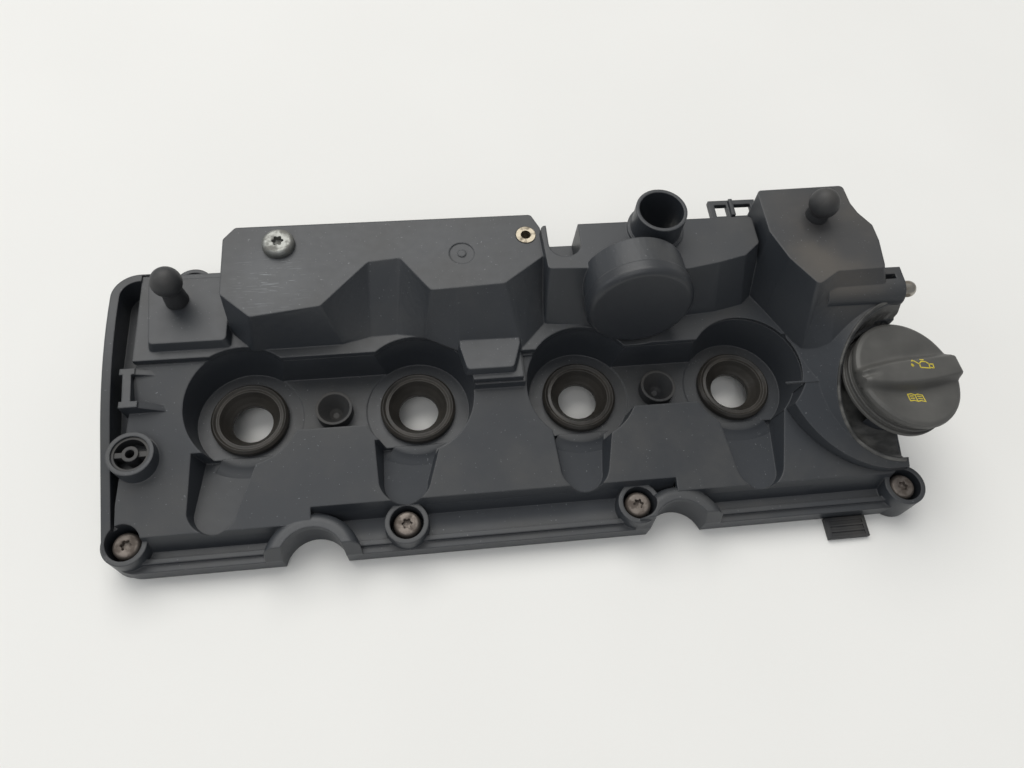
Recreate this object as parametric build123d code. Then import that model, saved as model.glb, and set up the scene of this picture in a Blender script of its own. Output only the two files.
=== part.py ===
"""Cylinder-head cover of a four-cylinder diesel engine, with its oil separator, filler and fasteners.

Millimetres, +Z up. The origin lies in the head joint plane, under the middle of the row of injector wells.
+X runs along the engine towards the oil filler, +Y towards the oil separator.
"""
from build123d import *
from math import atan2, cos, pi, radians, sin
import os

# ------------------------------------------------------------------ driving dimensions
bore_pitch = 88.0          # distance from one injector to the next
wall = 3.0                 # moulded wall
fit_gap = 0.3              # air between faces of pieces that move apart
slide_gap = 0.06           # radial clearance of a shank in its sleeve

# joint flange of the lower shell
flange_left = -200.0
flange_right = 222.0
flange_front = -74.0
flange_back = 78.0
flange_corner = 14.0
gasket_stand = 0.8         # how far the gasket stands below the flange
rail_top = 12.0            # top of the flange rail
rib_width = 2.6            # stiffening rib along the rail
rib_height = 2.2
rib_inset = 5.0            # rib centre line to the flange edge
rail_width = 11.0          # flange edge to the open inside, at the joint

# gasket bead in its groove
gasket_depth = 3.2
bead_inset = 4.2           # flange edge to the bead
bead_width = 4.2
bead_edge = 2.5            # scallop edge to the bead
bead_gap = 0.05
eye_r = 5.7                # eyes of the bead round the front bolts

# roof panels of the lower shell
panel_edge_z = 25.0        # height of the panels over panel_ref_y
panel_ref_y = -56.0
panel_slope = 13.0         # degrees, rising to the back
deck_top = 44.0            # weld plane between the two shells
step_run = 4.5             # how far the step below the panel edge leans forward
edge_y_ends = -59.5        # front edge of the panels at both ends
edge_y_mid = -51.5         # the same between the two scallops

# injector wells, bridges and troughs
well_floor = 20.5
well_r = 27.5              # radius at the floor
well_draft = 8.0           # degrees
seat_r = 16.0              # bore that takes the seal
collar_low = 6.0           # lower end of the collar round the seat
bridge_front = -13.0       # bridge between two wells: front and back
bridge_floor = 21.0
bridge_back_left = 22.5
bridge_back_right = 18.0
plug_bore_r = 7.5
trough_floor = 17.5
trough_draft = 12.0
trough_back = -21.0
trough_rise = 2.2          # floor at the nose over floor at the well
trough_reach = 42.0

# injector seal
seal_r = 20.0
seal_top = 25.4
seal_lip_r = 10.65
seal_lip_z = 17.0

# cover bolts
bolt_x = (-190.0, -53.0, 67.5, 214.0)
bolt_y = (-61.0, -62.0, -62.0, -64.5)
rear_bolt_x = (-168.0, -62.0, 46.0, 166.0)
rear_bolt_y = 88.0
boss_r = 11.0
boss_top = 21.0
cup_r = 8.6
seat_z = 5.5               # sleeve top, where the bolt head seats
bolt_travel = 8.5
head_r = 7.0
head_h = 4.8
head_rim = 2.0             # upright edge of the pan head
head_flat_r = 5.0          # flat top of the pan head
socket_flats = 4.6         # across flats
socket_depth = 2.6
shank_r = 3.0
sleeve_wall = 1.4

# scallops in the front rail
scallops = ((-100.0, -77.5, 16.2), (88.0, -78.5, 15.5))
scallop_rim = 8.0
scallop_round = 5.0        # rounding of the rim's outer edge

# upper shell
plate_t = 3.5              # weld flange of the upper shell
plateau_z = 75.0
shelf_z = 80.0
tower_z = 88.0
block_z = 53.0
box_z = 52.0
upper_right = 214.0
upper_back = 77.0
foot_back = -12.0          # the weld plane ends here and slopes down to the front under the filler
foot_front = -57.5
foot_t = 5.0
seam_lip = 1.2             # lower flange stands proud of the upper one
seam_box_y = 2.6           # weld flange in front of the low chamber

# vent tube and pressure valve
tube_x, tube_y = 86.5, 67.7
tube_r = 13.3
tube_wall = 1.8
tube_top = 96.0
drum_x, drum_y, drum_z = 72.6, 23.7, 73.0
drum_r = 28.0
drum_tilt = 8.0            # degrees, face turned slightly up
drum_depth = 24.0          # housing behind the face of the valve cap
valve_cap_t = 8.0
spring_wire = 1.0
spring_r = 9.0
spring_turns = 4
runs_per_turn = 10
spring_seat = 18.0         # behind the face of the cap
plate_rim = 0.6            # plate behind the diaphragm
floor_t = 2.5              # floor under the spring, with its ports
port_ring = 14.5
port_r = 3.0
port_count = 6

# oil filler
filler_tilt = 8.5          # degrees, leaning outwards
filler_x, filler_y = 209.6, -17.8   # axis at cap_top
cap_top = 63.0
cap_r = 30.2
cap_rim_t = 9.0
neck_r = 19.5
mouth_r = 16.5
neck_drop = 30.0           # lower end of the neck's upright wall, below the cap's top
neck_taper = 8.0           # cone that closes the neck below
mouth_depth = 11.0
skirt_low = 4.5            # cap's skirt below the neck's mouth
throat_x = 193.5           # upright throat below the neck
throat_r = 14.5
throat_top = 44.0
plug_reach = 8.0           # cap's plug into the neck
neck_top_drop = 14.0       # neck's mouth below the cap's top
# drip bowl round the neck: a slanting dish cut off by the end wall
bowl_x, bowl_y, bowl_z = 213.5, -17.0, 51.4
bowl_tilt = 32.2           # degrees, the rim rises to the back
bowl_r = 38.2              # outer edge of the rim, seen from above
bowl_rim = 2.4
bowl_depth = 9.0
bowl_round = 5.0
end_wall_x = 213.0
skirt_x, skirt_y, skirt_r = 214.0, 8.0, 66.5    # round foot of the bowl on the roof panel
skirt_lip = 4.0            # weld flange outside the bowl's flank

grip_r = 32.4              # reach of the grip bar's corners
bar_turn = 6.5             # degrees, grip bar off the row direction
cap_roof = 2.0 - neck_top_drop     # inner face of the cap over the neck

# clip boss beside the tower, along X
clip_r = 8.6
clip_length = 42.0
pin_r = 4.4
pin_depth = 8.0
pin_out = 6.0

# small pieces
stud_ball_r = 7.8
left_stud = (-164.4, 57.2)
right_stud = (172.3, 65.8)
screw_at = (-108.6, 72.6)
insert_at = (18.6, 71.8)
dial_at = (-15.9, 62.3)
ring_at = (-184.2, -22.0)
ring_r = 11.4
ring_wall = 2.2
bush_wall = 1.4
hub_r = 4.0
hub_bore = 2.2
ring_top = 41.0
rib_t = 3.4                # rib at the belt end, shaped like an upright stroke with two feet
rib_foot = 25.0
rib_top = 45.5
rib_run = 15.0             # gussets onto the roof
plug_r = 9.6
plug_top = 28.0
corner_r = 2.5             # upright corners of the chambers
notch_at = (37.5, 62.0)    # notch over a rear bolt, open to the back
notch_r = 8.5
notch_floor = 58.0
post_room = 14.0           # solid column below a stud, screw or insert in the separator
post_r = 5.0
insert_post_r = 8.0
insert_r = 5.2             # brass insert: outer and bore radius, length
insert_bore = 2.6
insert_depth = 10.0
screw_r = 2.5              # separator screw: shank, foot and domed head
screw_depth = 12.0
screw_foot_r = 8.3
screw_foot_t = 1.2
screw_head_r = 6.6
screw_head_flat_r = 5.2
screw_head_t = 4.2
dial_r = 6.5               # date dial sunk into the plateau
dial_sink = 0.5
dial_hub_r = 2.2
bar_end = 8.2              # half width of the grip bar at its ends
bar_middle = 5.4
bar_foot = 6.0             # foot of the bar below the cap's top
bar_height = 10.5
bar_taper = 12.0           # degrees
valve_plate_r = 10.98
valve_boss_r = 6.0
valve_boss_t = 3.0

# ------------------------------------------------------------------ derived places
well_x = [bore_pitch * (i - 1.5) for i in range(4)]
plug_x = (-bore_pitch, bore_pitch)
slope = sin(radians(panel_slope)) / cos(radians(panel_slope))
plate_top = deck_top + plate_t
rise = 120.0               # reach of cutting bodies above the part
sleeve_r = shank_r + slide_gap + sleeve_wall


def panel_z(y):
    """Height of the sloping roof panels at a given y."""
    return min(deck_top, panel_edge_z + slope * (y - panel_ref_y))


def inset(points, d):
    """Polygon moved inwards by d; the points run counter-clockwise."""
    out = []
    for i, (x, y) in enumerate(points):
        x0, y0 = points[i - 1]
        x1, y1 = points[(i + 1) % len(points)]
        a = atan2(y - y0, x - x0)
        b = atan2(y1 - y, x1 - x)
        half = (b - a) / 2
        reach = d / cos(half)
        out.append((x - reach * sin(a + half), y + reach * cos(a + half)))
    return out


def slab(points, z0, z1):
    """Upright prism over a polygon."""
    return Pos(0, 0, z0) * extrude(make_face(Polyline(*points, close=True)), z1 - z0)


def tub(x, y, z0, z1, r0, r1):
    """Round column, r0 wide at z0 and r1 at z1."""
    if abs(r0 - r1) < 1e-6:
        return Pos(x, y, (z0 + z1) / 2) * Cylinder(r0, z1 - z0)
    return Pos(x, y, (z0 + z1) / 2) * Cone(r0, r1, z1 - z0)


def hull(low, z0, high, z1, r=0.0):
    """Ruled body between two polygons with the same number of corners, rounded by r."""
    faces = []
    for points, z in ((low, z0), (high, z1)):
        face = make_face(Polyline(*points, close=True))
        if r:
            face = fillet(face.vertices(), r)
        faces.append(Pos(0, 0, z) * face)
    return loft(faces, ruled=True)


def block(x0, x1, y0, y1, z0, z1):
    return Pos((x0 + x1) / 2, (y0 + y1) / 2, (z0 + z1) / 2) * Box(x1 - x0, y1 - y0, z1 - z0)


def side_prism(profile, x0, x1):
    """Extrude a (y, z) profile along X from x0 to x1."""
    face = make_face(Polyline(*[(0, y, z) for y, z in profile], close=True))
    return Pos(x0, 0, 0) * extrude(face, x1 - x0, dir=(1, 0, 0))


def save(node, shape):
    shape.label = node
    export_step(shape, f"parts/{node}.step")


# ------------------------------------------------------------------ hollows that both shells share
def trough(x_back, x_front, half_back, half_front, y_end, grow):
    """Tapered scoop from a well to the front, narrower at its rounded end."""
    lean = sin(radians(trough_draft)) / cos(radians(trough_draft))
    faces = []
    for z in (trough_floor - grow, trough_floor + 30.0):
        w = grow + (z - trough_floor) * lean
        b = half_back - 4.0 + w
        f = half_front - 3.0 + w
        nose = y_end + 3.0 - w
        side_y = nose + 0.8 * half_front
        back = trough_back + grow
        right_side = [(x_front + f, side_y), (x_back + b, back)]
        left_side = [(x_back - b, back), (x_front - f, side_y)]
        outline = Polyline(*right_side, *left_side)
        outline = outline + ThreePointArc((x_front - f, side_y), (x_front, nose), (x_front + f, side_y))
        faces.append(Pos(0, 0, z) * make_face(outline))
    low = trough_floor - grow
    front = trough_back - trough_reach
    above = [
        (front - 20, low + 1.5 * trough_rise), (trough_back, low), (0, low), (0, rise), (front - 20, rise),
    ]
    return loft(faces) & side_prism(above, x_front - 40, x_front + 40)


troughs = (
    (-140.5, -147.5, 18.0, 13.5, -62.5),
    (-49.5, -52.5, 18.0, 14.0, -55.0),
    (41.5, 40.5, 17.0, 13.5, -56.0),
    (134.0, 134.5, 19.5, 14.0, -62.5),
)


def hollows(grow):
    """Wells, bridges and troughs, grown by a wall thickness for the inside of the shell."""
    lean = sin(radians(well_draft)) / cos(radians(well_draft))
    body = None
    low = well_floor - grow
    for x in well_x:
        cut = tub(x, 0, low, low + 60, well_r + grow, well_r + grow + 60 * lean)
        body = cut if body is None else body + cut
    for side, back in ((-1, bridge_back_left), (1, bridge_back_right)):
        x0 = side * bore_pitch - bore_pitch / 2
        body += block(x0, x0 + bore_pitch, bridge_front - grow, back + grow, bridge_floor - grow, rise)
    for row in troughs:
        body += trough(*row, grow)
    return body


# ------------------------------------------------------------------ weld seam
def seam_plate(grow, z0, z1):
    """Weld flange between the shells: its front edge runs behind the wells and beside the filler."""
    left = flange_left + 14.5
    g = grow
    points = [
        (left, 25.5 + g), (-150, 25.5 + g), (-116, bridge_back_left + g), (-21 + g, bridge_back_left + g),
        (-21 + g, seam_box_y + g), (12 - g, seam_box_y + g),
        (12 - g, bridge_back_right + g), (158 + g, bridge_back_right + g),
        (158 + g, foot_back), (upper_right - g, foot_back),
        (upper_right - g, upper_back - g), (left, upper_back - g),
    ]
    plate = slab(points, z0, z1)
    for x in well_x:
        plate = plate - tub(x, 0, z0 - 1, z1 + 1, 30.0 + g, 30.0 + g)
    return plate


# ------------------------------------------------------------------ lower shell
def roof(shrink):
    """Roof of the lower shell: three lengths with their own front edge, under one sloping plane."""
    x_mid0, x_mid1 = scallops[0][0], scallops[1][0]
    spans = (
        (flange_left + 6.5, x_mid0, edge_y_ends),
        (x_mid0, x_mid1, edge_y_mid),
        (x_mid1, upper_right, edge_y_ends + 1.0),
    )
    body = None
    for i, (x0, x1, edge) in enumerate(spans):
        a = x0 + (shrink if i == 0 else 0)
        b = x1 - (shrink if i == 2 else 0)
        y_deck = panel_ref_y + (deck_top - panel_edge_z) / slope
        floor = -5.0 if shrink else gasket_stand
        profile = [
            (edge - step_run + shrink, floor), (edge - step_run + shrink, rail_top - shrink),
            (edge + shrink, panel_z(edge) - shrink), (y_deck, deck_top - shrink),
            (flange_back - 1.5 - shrink, deck_top - shrink), (flange_back - 1.5 - shrink, floor),
        ]
        piece = side_prism(profile, a, b)
        body = piece if body is None else body + piece
    return body


def flange_outline(d):
    """Rounded rectangle of the joint flange, moved inwards by d."""
    w = flange_right - flange_left - 2 * d
    h = flange_back - flange_front - 2 * d
    x = (flange_right + flange_left) / 2
    y = (flange_back + flange_front) / 2
    return Pos(x, y) * RectangleRounded(w, h, max(2.0, flange_corner - d))


def all_bolts():
    return list(zip(bolt_x, bolt_y)) + [(x, rear_bolt_y) for x in rear_bolt_x]


def arch_wall():
    """Upright flange at the belt end, with an arched top."""
    outer = Pos(0, 0, gasket_stand) * extrude(flange_outline(0.0), 60)
    inner = Pos(0, 0, gasket_stand) * extrude(flange_outline(4.5), 60)
    ring = outer - inner
    arch = make_face(
        Polyline((0, -66, 0), (0, -66, 21), (0, -12, 38.5))
        + ThreePointArc((0, -12, 38.5), (0, 36, 48.5), (0, 79, 48.0))
        + Polyline((0, 79, 48.0), (0, 79, 0), (0, -66, 0))
    )
    reach = flange_left + flange_corner + 8.0
    return ring & (Pos(flange_left - 1, 0, 0) * extrude(arch, reach - flange_left + 1, dir=(1, 0, 0)))


def groove_floor():
    back = flange_back - 1.5
    profile = [(-64, gasket_stand), (-64, 15), (30, 33), (back, 33), (back, gasket_stand)]
    return side_prism(profile, flange_left + 3.0, flange_left + 20.0)


def build_lower():
    rail = Pos(0, 0, gasket_stand) * extrude(flange_outline(0.0), rail_top - gasket_stand)
    rib_c = flange_outline(rib_inset - rib_width / 2)
    rib_i = flange_outline(rib_inset + rib_width / 2)
    rib = Pos(0, 0, rail_top) * extrude(rib_c - rib_i, rib_height)
    body = rail + rib + roof(0.0)
    body = body + seam_plate(-seam_lip, 30.0, deck_top)
    # the panels stop along a slanting line at the belt end
    slant = slab(
        [(-230, -80), (-195.5, -80), (-194.6, -52), (-184.5, 27), (-184.5, 90), (-230, 90)], 15.0, rise,
    )
    body = body - slant
    body = body + groove_floor() + (arch_wall() - seam_plate(-fit_gap, deck_top, rise))
    # rims of the scallops rise from the rail to the panel level
    for x, y, r in scallops:
        rim = tub(x, y, gasket_stand, panel_z(y + r + scallop_rim) - 1.0, r + scallop_rim, r + scallop_rim)
        rim = fillet(rim.edges().group_by(Axis.Z)[-1], scallop_round)
        profile = [(flange_front, 0), (flange_front, rail_top + 1), (y + r + 2, 60), (0, 60), (0, 0)]
        ramp = side_prism(profile, x - 40, x + 40)
        body = body + (rim & ramp)
    for x, y in all_bolts():
        body = body + tub(x, y, gasket_stand, boss_top, boss_r + 1.0, boss_r)
    for x in rear_bolt_x:
        left, right = x - boss_r - 2, x + boss_r + 2
        body = body + block(left, right, flange_back - 6, rear_bolt_y, gasket_stand, rail_top)
    body = body - hollows(0.0)

    # inside of the shell
    void = roof(wall) + seam_plate(wall, -5.0, deck_top - wall) - hollows(wall)
    void = void - block(flange_left, flange_left + 16.0, -100, 100, -10, rise)
    for x, y in all_bolts():
        void = void - tub(x, y, -10, 60, boss_r, boss_r)
    rail_inside = rail_top - wall
    void = void - Pos(0, 0, -5) * extrude(flange_outline(0.0) - flange_outline(rail_width), 5 + rail_inside)
    for x, y, r in scallops:
        rail_r = r + rail_width - 2
        void = void - tub(x, y, -10, 60, r + wall, r + wall) - tub(x, y, -10, rail_inside, rail_r, rail_r)
    # collars that hold the seals and the plugs
    for x in well_x:
        void = void - tub(x, 0, collar_low, 60, seat_r + wall, seat_r + wall)
    for x in plug_x:
        void = void - tub(x, 1.0, bridge_floor - 9, 60, plug_bore_r + wall, plug_bore_r + wall)
    body = body - void
    for x in well_x:
        body = body - tub(x, 0, -10, 60, seat_r, seat_r)
    for x in plug_x:
        body = body - tub(x, 1.0, -10, 60, plug_bore_r, plug_bore_r)
    for x, y, r in scallops:
        body = body - tub(x, y, -10, 60, r, r)
    for x, y in all_bolts():
        body = body - tub(x, y, seat_z, 60, cup_r, cup_r) - tub(x, y, -5, 60, sleeve_r, sleeve_r)
    body = body - throat() - filler_tube(mouth_r, mouth_depth) - skirt_room()
    # gasket groove
    groove = Pos(0, 0, -1) * extrude(gasket_band(0.0), 1 + gasket_depth)
    body = body - groove
    # I-shaped rib with two gussets, and the ring boss
    for x0, x1, y in ((-190.5, -181.5, 2.5), (-192.0, -184.5, 21.0)):
        body = body + block(x0, x1, y - rib_t / 2, y + rib_t / 2, rib_foot, rib_top)
        crest, toe = (x1 - 2, y, rib_top), (x1 + rib_run, y, panel_z(y) - 2)
        wedge = Polyline(crest, toe, (x1 - 2, y, rib_foot), close=True)
        body = body + Pos(0, rib_t / 2, 0) * extrude(make_face(wedge), rib_t, dir=(0, -1, 0))
    stroke = [(-189.0, 2.5), (-184.8, 2.5), (-186.2, 21.0), (-190.4, 21.0)]
    body = body + slab(stroke, rib_foot, rib_top)
    rx, ry = ring_at
    body = body + tub(rx, ry, 15, ring_top, ring_r, ring_r)
    body = body - tub(rx, ry, ring_top - 9, 60, ring_r - ring_wall, ring_r - ring_wall)
    return body


def gasket_band(gap):
    """Plan of the gasket bead: it runs behind the scallops and has an eye at each front bolt."""
    outer = flange_outline(bead_inset + gap)
    inner = flange_outline(bead_inset + bead_width - gap)
    for x, y, r in scallops:
        outer = outer - Pos(x, y) * Circle(r + bead_edge + gap)
        inner = inner - Pos(x, y) * Circle(r + bead_edge + bead_width - gap)
    band = outer - inner
    front_bolts = list(zip(bolt_x, bolt_y))
    for x, y in front_bolts:
        band = band + (Pos(x, y) * Circle(eye_r + bead_width - gap) & flange_outline(bead_edge + gap))
    for x, y in front_bolts:
        band = band - Pos(x, y) * Circle(eye_r + gap)
    return band


# ------------------------------------------------------------------ upper shell
plateau_high = [
    (-136.7, 45), (-121.7, 30.8), (-87.9, 34.9), (-64, 59.7), (-47.7, 61.2), (-33, 40.7), (-20, 41.3),
    (4.6, 42.5), (27, 58.5), (26.6, 76), (22.5, 85), (-131, 85), (-136.8, 78),
]
plateau_low = [
    (-138, 40), (-126, 27.5), (-80, 28.0), (-66, 31.0), (-52, 31.5), (-38, 29.0), (-20, 19.5), (13, 19.0),
    (33, 40), (33, 74), (26, 79), (-132, 79), (-138, 73),
]
shelf_high = [(26, 73.5), (27, 46.5), (45, 45.7), (100, 42), (117, 45), (132, 48.6), (141, 56), (141, 73.5)]
shelf_low = [(24, 77), (26, 33), (46, 31), (104, 33), (122, 34.5), (138, 38), (147, 46), (147, 77)]
tower_high = [
    (144, 84), (144.2, 57), (150.5, 39.8), (161.6, 23), (174, 30.5), (199.5, 31), (201.5, 48), (201, 58),
    (195.5, 66.5), (193.3, 73), (192.5, 85),
]
tower_low = [
    (142, 79), (142, 47), (150, 33), (164, 6), (176, -6), (212, -6), (213, 44), (213, 58), (212.5, 66.5),
    (212, 73), (212, 79),
]
block_high = [(-180.0, 70.5), (-176.5, 31.8), (-138.5, 31.8), (-137.5, 70.5)]
block_low = [(-181.5, 73), (-178, 30), (-137, 30), (-136, 73)]
box_high = [(-17, 6.4), (7, 6.4), (11.5, 20), (11.5, 34), (-20, 34), (-20, 20)]
box_low = [(-18, 5.2), (8, 5.2), (12.8, 19.5), (12.8, 34), (-21.2, 34), (-21.2, 19.5)]


def upper_bulk(shrink):
    """Chambers that stand on the weld flange; shrink gives the cavity inside."""
    lower_z = plate_top - 0.5 if not shrink else deck_top - 1.0
    rows = (
        (plateau_low, plateau_high, plateau_z),
        (shelf_low, shelf_high, shelf_z),
        (tower_low, tower_high, tower_z),
        (block_low, block_high, block_z),
        (box_low, box_high, box_z),
    )
    body = None
    for low, high, z in rows:
        corner = 0.0 if shrink else corner_r
        piece = hull(inset(low, shrink), lower_z, inset(high, shrink), z - shrink, corner)
        body = piece if body is None else body + piece
    return body


drum_plane = Plane(
    origin=(drum_x, drum_y, drum_z), x_dir=(1, 0, 0),
    z_dir=(0, -cos(radians(drum_tilt)), sin(radians(drum_tilt))),
)
filler_plane = Plane(
    origin=(filler_x, filler_y, cap_top), x_dir=(cos(radians(filler_tilt)), 0, -sin(radians(filler_tilt))),
    z_dir=(sin(radians(filler_tilt)), 0, cos(radians(filler_tilt))),
)
clip_plane = Plane(origin=(170.0, 26.5, 73.0), x_dir=(0, 1, 0), z_dir=(1, 0, 0))
bowl_plane = Plane(
    origin=(bowl_x, bowl_y, bowl_z), x_dir=(1, 0, 0),
    z_dir=(0, -sin(radians(bowl_tilt)), cos(radians(bowl_tilt))),
)
panel_plane = Plane(
    origin=(skirt_x, skirt_y, panel_edge_z + slope * (skirt_y - panel_ref_y)), x_dir=(1, 0, 0),
    z_dir=(0, -sin(radians(panel_slope)), cos(radians(panel_slope))),
)


def on(plane, z0, z1, r0, r1=None):
    """Round column along the normal of a plane, from z0 to z1."""
    r1 = r0 if r1 is None else r1
    return plane.location * tub(0, 0, z0, z1, r0, r1)


def ring(plane, z0, z1, r_out, r_in):
    return on(plane, z0, z1, r_out) - on(plane, z0 - 1, z1 + 1, r_in)


def filler_tube(r, depth):
    return on(filler_plane, -neck_top_drop - depth, -neck_top_drop + 20, r)


def throat():
    """Upright throat through the roof below the neck."""
    return tub(throat_x, filler_y, 0, throat_top, throat_r, throat_r)


def skirt_room():
    """Room round the neck for the cap's skirt to turn and lift off."""
    return on(filler_plane, -neck_top_drop - skirt_low - fit_gap, 60, neck_r + wall + 2 * fit_gap)


def under(plane, drop):
    """Everything below a tilted plane, lowered by drop."""
    return plane.location * Pos(0, 0, -rise - drop) * Box(4 * rise, 4 * rise, 2 * rise)


def tilted_disc(plane, r, tilt, z):
    """Ellipse in a tilted plane that is round when seen from above."""
    return plane.location * (Pos(0, 0, z) * Ellipse(r, r / cos(radians(tilt))))


def bowl_flank():
    """Body of the drip bowl: from its round foot on the panel up to the slanting rim."""
    foot = tilted_disc(panel_plane, skirt_r - skirt_lip, panel_slope, 0.0)
    rim = tilted_disc(bowl_plane, bowl_r, bowl_tilt, 0.0)
    return loft([foot, rim], ruled=True)


def bowl_dish():
    """Hollow of the drip bowl, with a rounded bottom edge."""
    r = bowl_r - bowl_rim
    dish = tub(bowl_x, bowl_y, 0, rise, r, r) - under(bowl_plane, bowl_depth)
    return fillet(dish.edges().group_by(Axis.Z)[0], bowl_round)


def skirt_flange():
    """Weld flange round the foot of the bowl, lying on the roof panel."""
    disc = tub(skirt_x, skirt_y, 0, rise, skirt_r, skirt_r)
    band = side_prism(
        [(foot_front - 1, panel_z(foot_front)), (foot_front - 1, panel_z(foot_front) + foot_t),
         (foot_back + 1, plate_top), (foot_back + 1, panel_z(foot_back))], 150, 220)
    return disc & band & block(140, upper_right, foot_front, foot_back + 1, 0, rise)


def spring_floor():
    """Floor the valve spring stands on, with gas ports round it."""
    floor = on(drum_plane, -spring_seat - floor_t, -spring_seat, drum_r - 4.0)
    for i in range(port_count):
        a = 2 * pi * i / port_count
        place = Pos(port_ring * cos(a), port_ring * sin(a), -spring_seat - floor_t / 2)
        port = place * Cylinder(port_r, 3 * floor_t)
        floor = floor - drum_plane.location * port
    return floor


def clip_foot():
    """Square lower half of the clip boss."""
    half = Pos(0, 0, clip_length / 2) * Box(clip_r, 2 * clip_r, clip_length)
    return clip_plane.location * (Pos(clip_r / 2, 0, 0) * half)


def build_upper():
    body = seam_plate(0.0, deck_top, plate_top) + upper_bulk(0.0) + skirt_flange()
    # drip bowl round the filler neck, cut off by the end wall
    flank = bowl_flank() - block(end_wall_x, 400, -200, 200, -50, 200)
    body = body + flank - bowl_dish()
    body = body + on(clip_plane, 0, clip_length, clip_r) + clip_foot()
    # room for the cap to turn and lift off
    body = body - skirt_room()
    body = body - on(filler_plane, -neck_top_drop - fit_gap, 60, cap_r + fit_gap)
    body = body - on(filler_plane, -cap_rim_t + 2.0, 60, grip_r + 2 * fit_gap)
    body = body + on(filler_plane, -neck_drop, -neck_top_drop, neck_r)
    body = body + on(filler_plane, -neck_drop - neck_taper, -neck_drop, neck_r - neck_taper, neck_r)
    # pressure valve housing, with the cap's place cut free of the weld flange
    body = body + on(drum_plane, -drum_depth, -valve_cap_t, drum_r - 1.0)
    body = body - on(drum_plane, -valve_cap_t, 8, drum_r)
    # vent tube with a bead at its foot
    body = body + tub(tube_x, tube_y, shelf_z - 14, tube_top, tube_r, tube_r)
    body = body + tub(tube_x, tube_y, shelf_z - 12, shelf_z + 1.6, tube_r + 1.6, tube_r + 1.6)
    body = body - lower_mass()
    # cavity of the separator
    void = upper_bulk(wall) + on(drum_plane, wall - drum_depth, -spring_seat, drum_r - 7)
    nx, ny = notch_at
    pocket = notch_r + wall
    void = void - tub(nx, ny, 40, 90, pocket, pocket) - on(clip_plane, -5, clip_length, clip_r)
    void = void - block(nx - pocket, nx + pocket, ny, 90, 40, 90) - bowl_flank()
    posts = (
        (*left_stud, block_z, post_r), (*right_stud, tower_z, post_r),
        (*screw_at, plateau_z, post_r), (*insert_at, plateau_z, insert_post_r),
    )
    for x, y, z, r in posts:
        void = void - tub(x, y, z - post_room, z, r, r)
    body = body - void + spring_floor()
    body = body - on(drum_plane, -spring_seat, 5, drum_r - 6.5)
    body = body - tub(tube_x, tube_y, shelf_z - 20, tube_top + 1, tube_r - tube_wall, tube_r - tube_wall)
    body = body - filler_tube(mouth_r, mouth_depth) - throat()
    body = body - tub(nx, ny, notch_floor, rise, notch_r, notch_r)
    body = body - block(nx - notch_r, nx + notch_r, ny, 90, notch_floor, rise)
    # seats of the screw, the insert and the pin, slot in the clip, dial mark
    body = body - tub(*screw_at, plateau_z - screw_depth, rise, screw_r, screw_r)
    body = body - tub(*insert_at, plateau_z - insert_depth, rise, insert_r, insert_r)
    body = body - tub(*dial_at, plateau_z - dial_sink, rise, dial_r, dial_r)
    body = body + tub(*dial_at, plateau_z - dial_sink - 0.1, plateau_z, dial_hub_r, dial_hub_r)
    body = body - on(clip_plane, clip_length - pin_depth, clip_length + 5, pin_r)
    body = body - block(194, 208, 28.0, 31.0, 76, 82.2)
    return body


def lower_mass():
    """Everything the lower shell fills from the joint plane up to the weld plane."""
    return roof(0.0) + seam_plate(-seam_lip, 30.0, deck_top)


# ------------------------------------------------------------------ seals, plugs and gasket
def turned(points, x=0.0, y=0.0):
    """Solid of revolution about an upright axis, from (radius, z) points."""
    face = make_face(Polyline(*[(r, 0, z) for r, z in points], close=True))
    return Pos(x, y, 0) * revolve(face, Axis.Z)


def injector_seal(x):
    """Rubber funnel with ribs: it grips the injector below and closes the seat with a collar."""
    t = seal_top
    points = [
        (seal_lip_r, seal_lip_z), (seal_lip_r, seal_lip_z - 2.5), (seal_lip_r + 1.0, seal_lip_z - 3.6),
        (seat_r - 2.2, well_floor - 4.5), (seat_r, well_floor - 6.5),
        (seat_r, well_floor), (seal_r, well_floor),
        (seal_r, t - 1.6), (seal_r - 1.4, t), (seal_r - 2.8, t - 1.4), (seal_r - 4.4, t - 1.0),
        (seat_r - 2.0, well_floor + 1.0), (seal_lip_r + 1.2, seal_lip_z + 1.4),
    ]
    return turned(points, x)


def clamp_plug(x):
    """Push-in cup plug over the bolt of an injector clamp."""
    t = plug_top
    b = plug_bore_r
    points = [
        (0, bridge_floor - 3), (1.6, bridge_floor - 3), (3.4, bridge_floor - 1.2),
        (7.4, t - 1.4), (8.2, t), (plug_r, t), (plug_r, bridge_floor), (b, bridge_floor),
        (b, bridge_floor - 8), (b - 1.2, bridge_floor - 9.2), (0, bridge_floor - 9.2),
    ]
    return turned(points, x, 1.0)


def head_gasket():
    """Gasket bead in the flange groove, with a ribbed tab that shows past the front edge."""
    bead = extrude(gasket_band(bead_gap), gasket_depth)
    tab_x = 184.5
    strip = block(tab_x - 6, tab_x + 6, flange_front - 3, flange_front + 6, 0, gasket_stand)
    tab = block(tab_x - 11.5, tab_x + 11.5, flange_front - 12, flange_front - 0.4, 0, 3.2)
    for i in range(3):
        y = flange_front - 3.4 - 3.1 * i
        tab = tab - block(tab_x - 9.5, tab_x + 9.5, y - 1.0, y + 1.0, 2.3, 5)
    return bead + strip + tab


# ------------------------------------------------------------------ fasteners
def hexagon(x, y, z0, z1, across_flats):
    return Pos(x, y, z0) * extrude(RegularPolygon(across_flats / 2, 6, major_radius=False), z1 - z0)


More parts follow.
